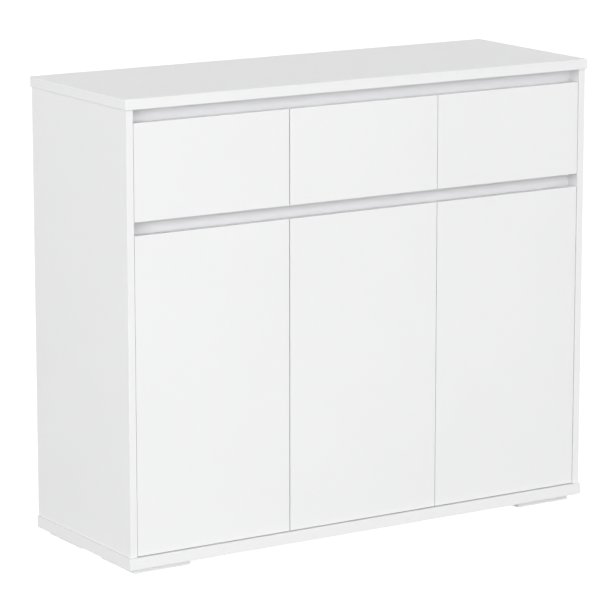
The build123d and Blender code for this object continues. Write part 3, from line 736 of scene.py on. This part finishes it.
def add_box(mesh, low, high):
    """A thin strip of sheet between two corners."""
    made = bmesh.ops.create_cube(mesh, size=1.0)
    for corner in made["verts"]:
        for axis in range(3):
            corner.co[axis] = low[axis] if corner.co[axis] < 0 else high[axis]


def ball_cage(mesh, steel, web_x, reach, rows, start):
    """A U-shaped cage with a row of balls in each leg; the balls go in a mesh of their own."""
    length = BALL_PITCH * (BALLS - 1) + 2 * CAGE_MARGIN
    low_x, high_x = sorted(reach)
    half = CAGE_SHEET / 2
    for z, radius in rows:
        add_box(mesh, (low_x, start, z - half), (high_x, start + length, z + half))
        for index in range(BALLS):
            place = ((low_x + high_x) / 2, start + CAGE_MARGIN + index * BALL_PITCH, z)
            matrix = Matrix.Translation(place)
            bmesh.ops.create_icosphere(steel, subdivisions=2, radius=radius, matrix=matrix)
    bottom, top = sorted(z for z, _ in rows)
    add_box(mesh, (web_x - half, start, bottom - half), (web_x + half, start + length, top + half))


def make_ball_cages(zinc, polished):
    """Two cages in every runner: cabinet to middle member behind, middle to drawer member in front."""
    for name in NAMES:
        cages = bmesh.new()
        balls = bmesh.new()
        outers = [corners_of(solid) for solid in solids("runner_outer_members")]
        inners = [corners_of(solid) for solid in solids("runner_inner_" + name)]
        for solid in solids("runner_middle_" + name):
            low, high = corners_of(solid)
            middle = (low + high) / 2
            outer = nearest(outers, middle, (0,))
            inner = nearest(inners, middle, (0,))
            # +1 where the cabinet's upright is on the runner's left
            side = 1 if outer[0].x < inner[0].x else -1
            wall = outer[0].x if side > 0 else outer[1].x
            cage_and_balls(cages, balls, wall, side, low, high, outer, inner)
        piece("runner_cages_" + name, cages, "runner_" + name, zinc, "zinc_steel")
        piece("runner_balls_" + name, balls, "runner_" + name, polished, "zinc_steel")


def cage_and_balls(cages, balls, wall, side, low, high, outer, inner):
    """Both cages of one runner, in the channels between its members."""
    centre = (low.z + high.z) / 2
    half = (high.z - low.z) / 2
    outer_half = (outer[1].z - outer[0].z) / 2 - STEEL_SHEET
    inner_half = (inner[1].z - inner[0].z) / 2
    for near, far, (web, reach), start in (
        (half, outer_half, BACK_CAGE, high.y - BACK_CAGE_START),
        (inner_half, half - STEEL_SHEET, FRONT_CAGE, low.y + FRONT_CAGE_START),
    ):
        offset = (near + far) / 2
        radius = (far - near) / 2 - BALL_PLAY
        rows = [(centre - offset, radius), (centre + offset, radius)]
        across = [wall + side * value * MM for value in reach]
        ball_cage(cages, balls, wall + side * web * MM, across, rows, start)


# ---- Hinge adjusting screws ----

ADJUSTER_HEAD = 0.9       # millimetres, as are the rest
ADJUSTER_PROFILE = (
    (0, ADJUSTER_HEAD), (1.6, 0.88), (2.5, 0.72), (2.9, 0.40), (2.95, 0.0), (2.4, -0.4), (0, -0.4),
)
ADJUSTER_RECESS = (3.6, 0.9, 0.8)
ADJUSTER_PLACES = (13.0, 34.0)   # behind the front of the arm's body
ARM_LENGTH = 46.0
ARM_HEIGHT = 12.0         # from the upright's face to the arm's crown


def make_adjusters(nickel):
    """Two screws on each arm, which set the door's overlay and hold the arm to its plate."""
    tool = cross_tool(ADJUSTER_HEAD, *ADJUSTER_RECESS)
    head = carved(turned(ADJUSTER_PROFILE, steps=32), tool)
    plates = [corners_of(solid) for solid in solids("hinge_plates")]
    places = []
    for solid in solids("hinge_arms"):
        low, high = corners_of(solid)
        plate = nearest(plates, (low + high) / 2)
        side = 1 if plate[0].x < low.x else -1
        wall = plate[0].x if side > 0 else plate[1].x
        crown = wall + side * ARM_HEIGHT * MM
        for offset in ADJUSTER_PLACES:
            place = Vector((crown, high.y - ARM_LENGTH * MM + offset * MM, (low.z + high.z) / 2))
            places.append((place, Vector((side, 0.0, 0.0))))
    copies("hinge_adjusters", head, places, "carcass", nickel, "nickel_hinge", turn=SCREW_TURN)


# ---- Dressing the CAD nodes ----

BOARDS = ["top_panel", "bottom_panel", "upper_grip_rail", "lower_grip_rail"]
BOARDS += [f"{part}_{side}" for part in ("side_panel", "divider") for side in ("left", "right")]
for part in ("shelf", "drawer_front", "drawer_back", "door", "drawer_sides"):
    BOARDS += [f"{part}_{name}" for name in NAMES]
# the boards whose edges are sharp in the CAD model, and how much is taken off them
SHARP_BOARDS = ["upper_grip_rail", "lower_grip_rail", "divider_left", "divider_right"]
SHARP_BOARDS += [f"drawer_{part}_{name}" for part in ("sides", "back") for name in NAMES]
BOARD_SOFTENING = 0.35
# the metal fittings, and how much pressing or casting rounds their edges, in millimetres
SOFTENED = {"runner_outer_members": 0.5, "hinge_plates": 0.5, "hinge_arms": 0.6, "cam_locks": 0.3}
SOFTENED.update({"shelf_pegs": 0.5})
SOFTENED.update({f"runner_{part}_{name}": 0.5 for part in ("middle", "inner") for name in NAMES})
SOFTENED.update({f"hinge_cups_{name}": 0.3 for name in NAMES})
ALONG_RUNNER = (1.0, 0.06, 1.0)  # the streaks of rolled steel run along Y


def dress(node, material):
    """Gives a CAD node its material."""
    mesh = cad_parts[node].data
    mesh.materials.clear()
    mesh.materials.append(material)


def dress_boards():
    for board in BOARDS:
        dress(board, melamine(board))
    for board in SHARP_BOARDS:
        soften(board, BOARD_SOFTENING * MM)
    for name in NAMES:
        dress("back_panel_" + name, fibreboard("back_panel_" + name, (0.0, -1.0, 0.0)))
        dress("drawer_bottom_" + name, fibreboard("drawer_bottom_" + name, (0.0, 0.0, 1.0)))
    for foot in FEET:
        dress(foot, foil(foot))


def dress_hardware():
    zinc = metal("zinc_plate", ZINC_LIGHT, ZINC_DARK, 0.26, 0.42, ALONG_RUNNER, blush=ZINC_BLUSH)
    screws = metal("zinc_screws", ZINC_LIGHT, ZINC_DARK, 0.22, 0.36, blush=ZINC_BLUSH)
    nickel = metal("nickel_plate", NICKEL_LIGHT, NICKEL_DARK, 0.16, 0.30, pits=0.03)
    cast = metal("cast_zinc", CAST_LIGHT, CAST_DARK, 0.42, 0.60, pits=0.25)
    polished = metal("ball_steel", NICKEL_LIGHT, ZINC_LIGHT, 0.06, 0.12, pits=0.01)
    wood = beech("beech")
    plain = {"runner_outer_members": zinc, "cam_locks": cast, "cam_bolts": screws, "dowels": wood}
    plain.update({"hinge_plates": nickel, "hinge_arms": nickel, "shelf_pegs": nickel})
    for name in NAMES:
        plain.update({"runner_middle_" + name: zinc, "runner_inner_" + name: zinc})
        plain.update({"hinge_cups_" + name: nickel, "hinge_pins_" + name: screws})
    for node, material in plain.items():
        dress(node, material)
    for node, width in SOFTENED.items():
        soften(node, width * MM)
    make_fasteners(screws, nickel)
    make_ball_cages(zinc, polished)
    make_adjusters(nickel)


make_camera()
make_studio()
dress_boards()
dress_hardware()
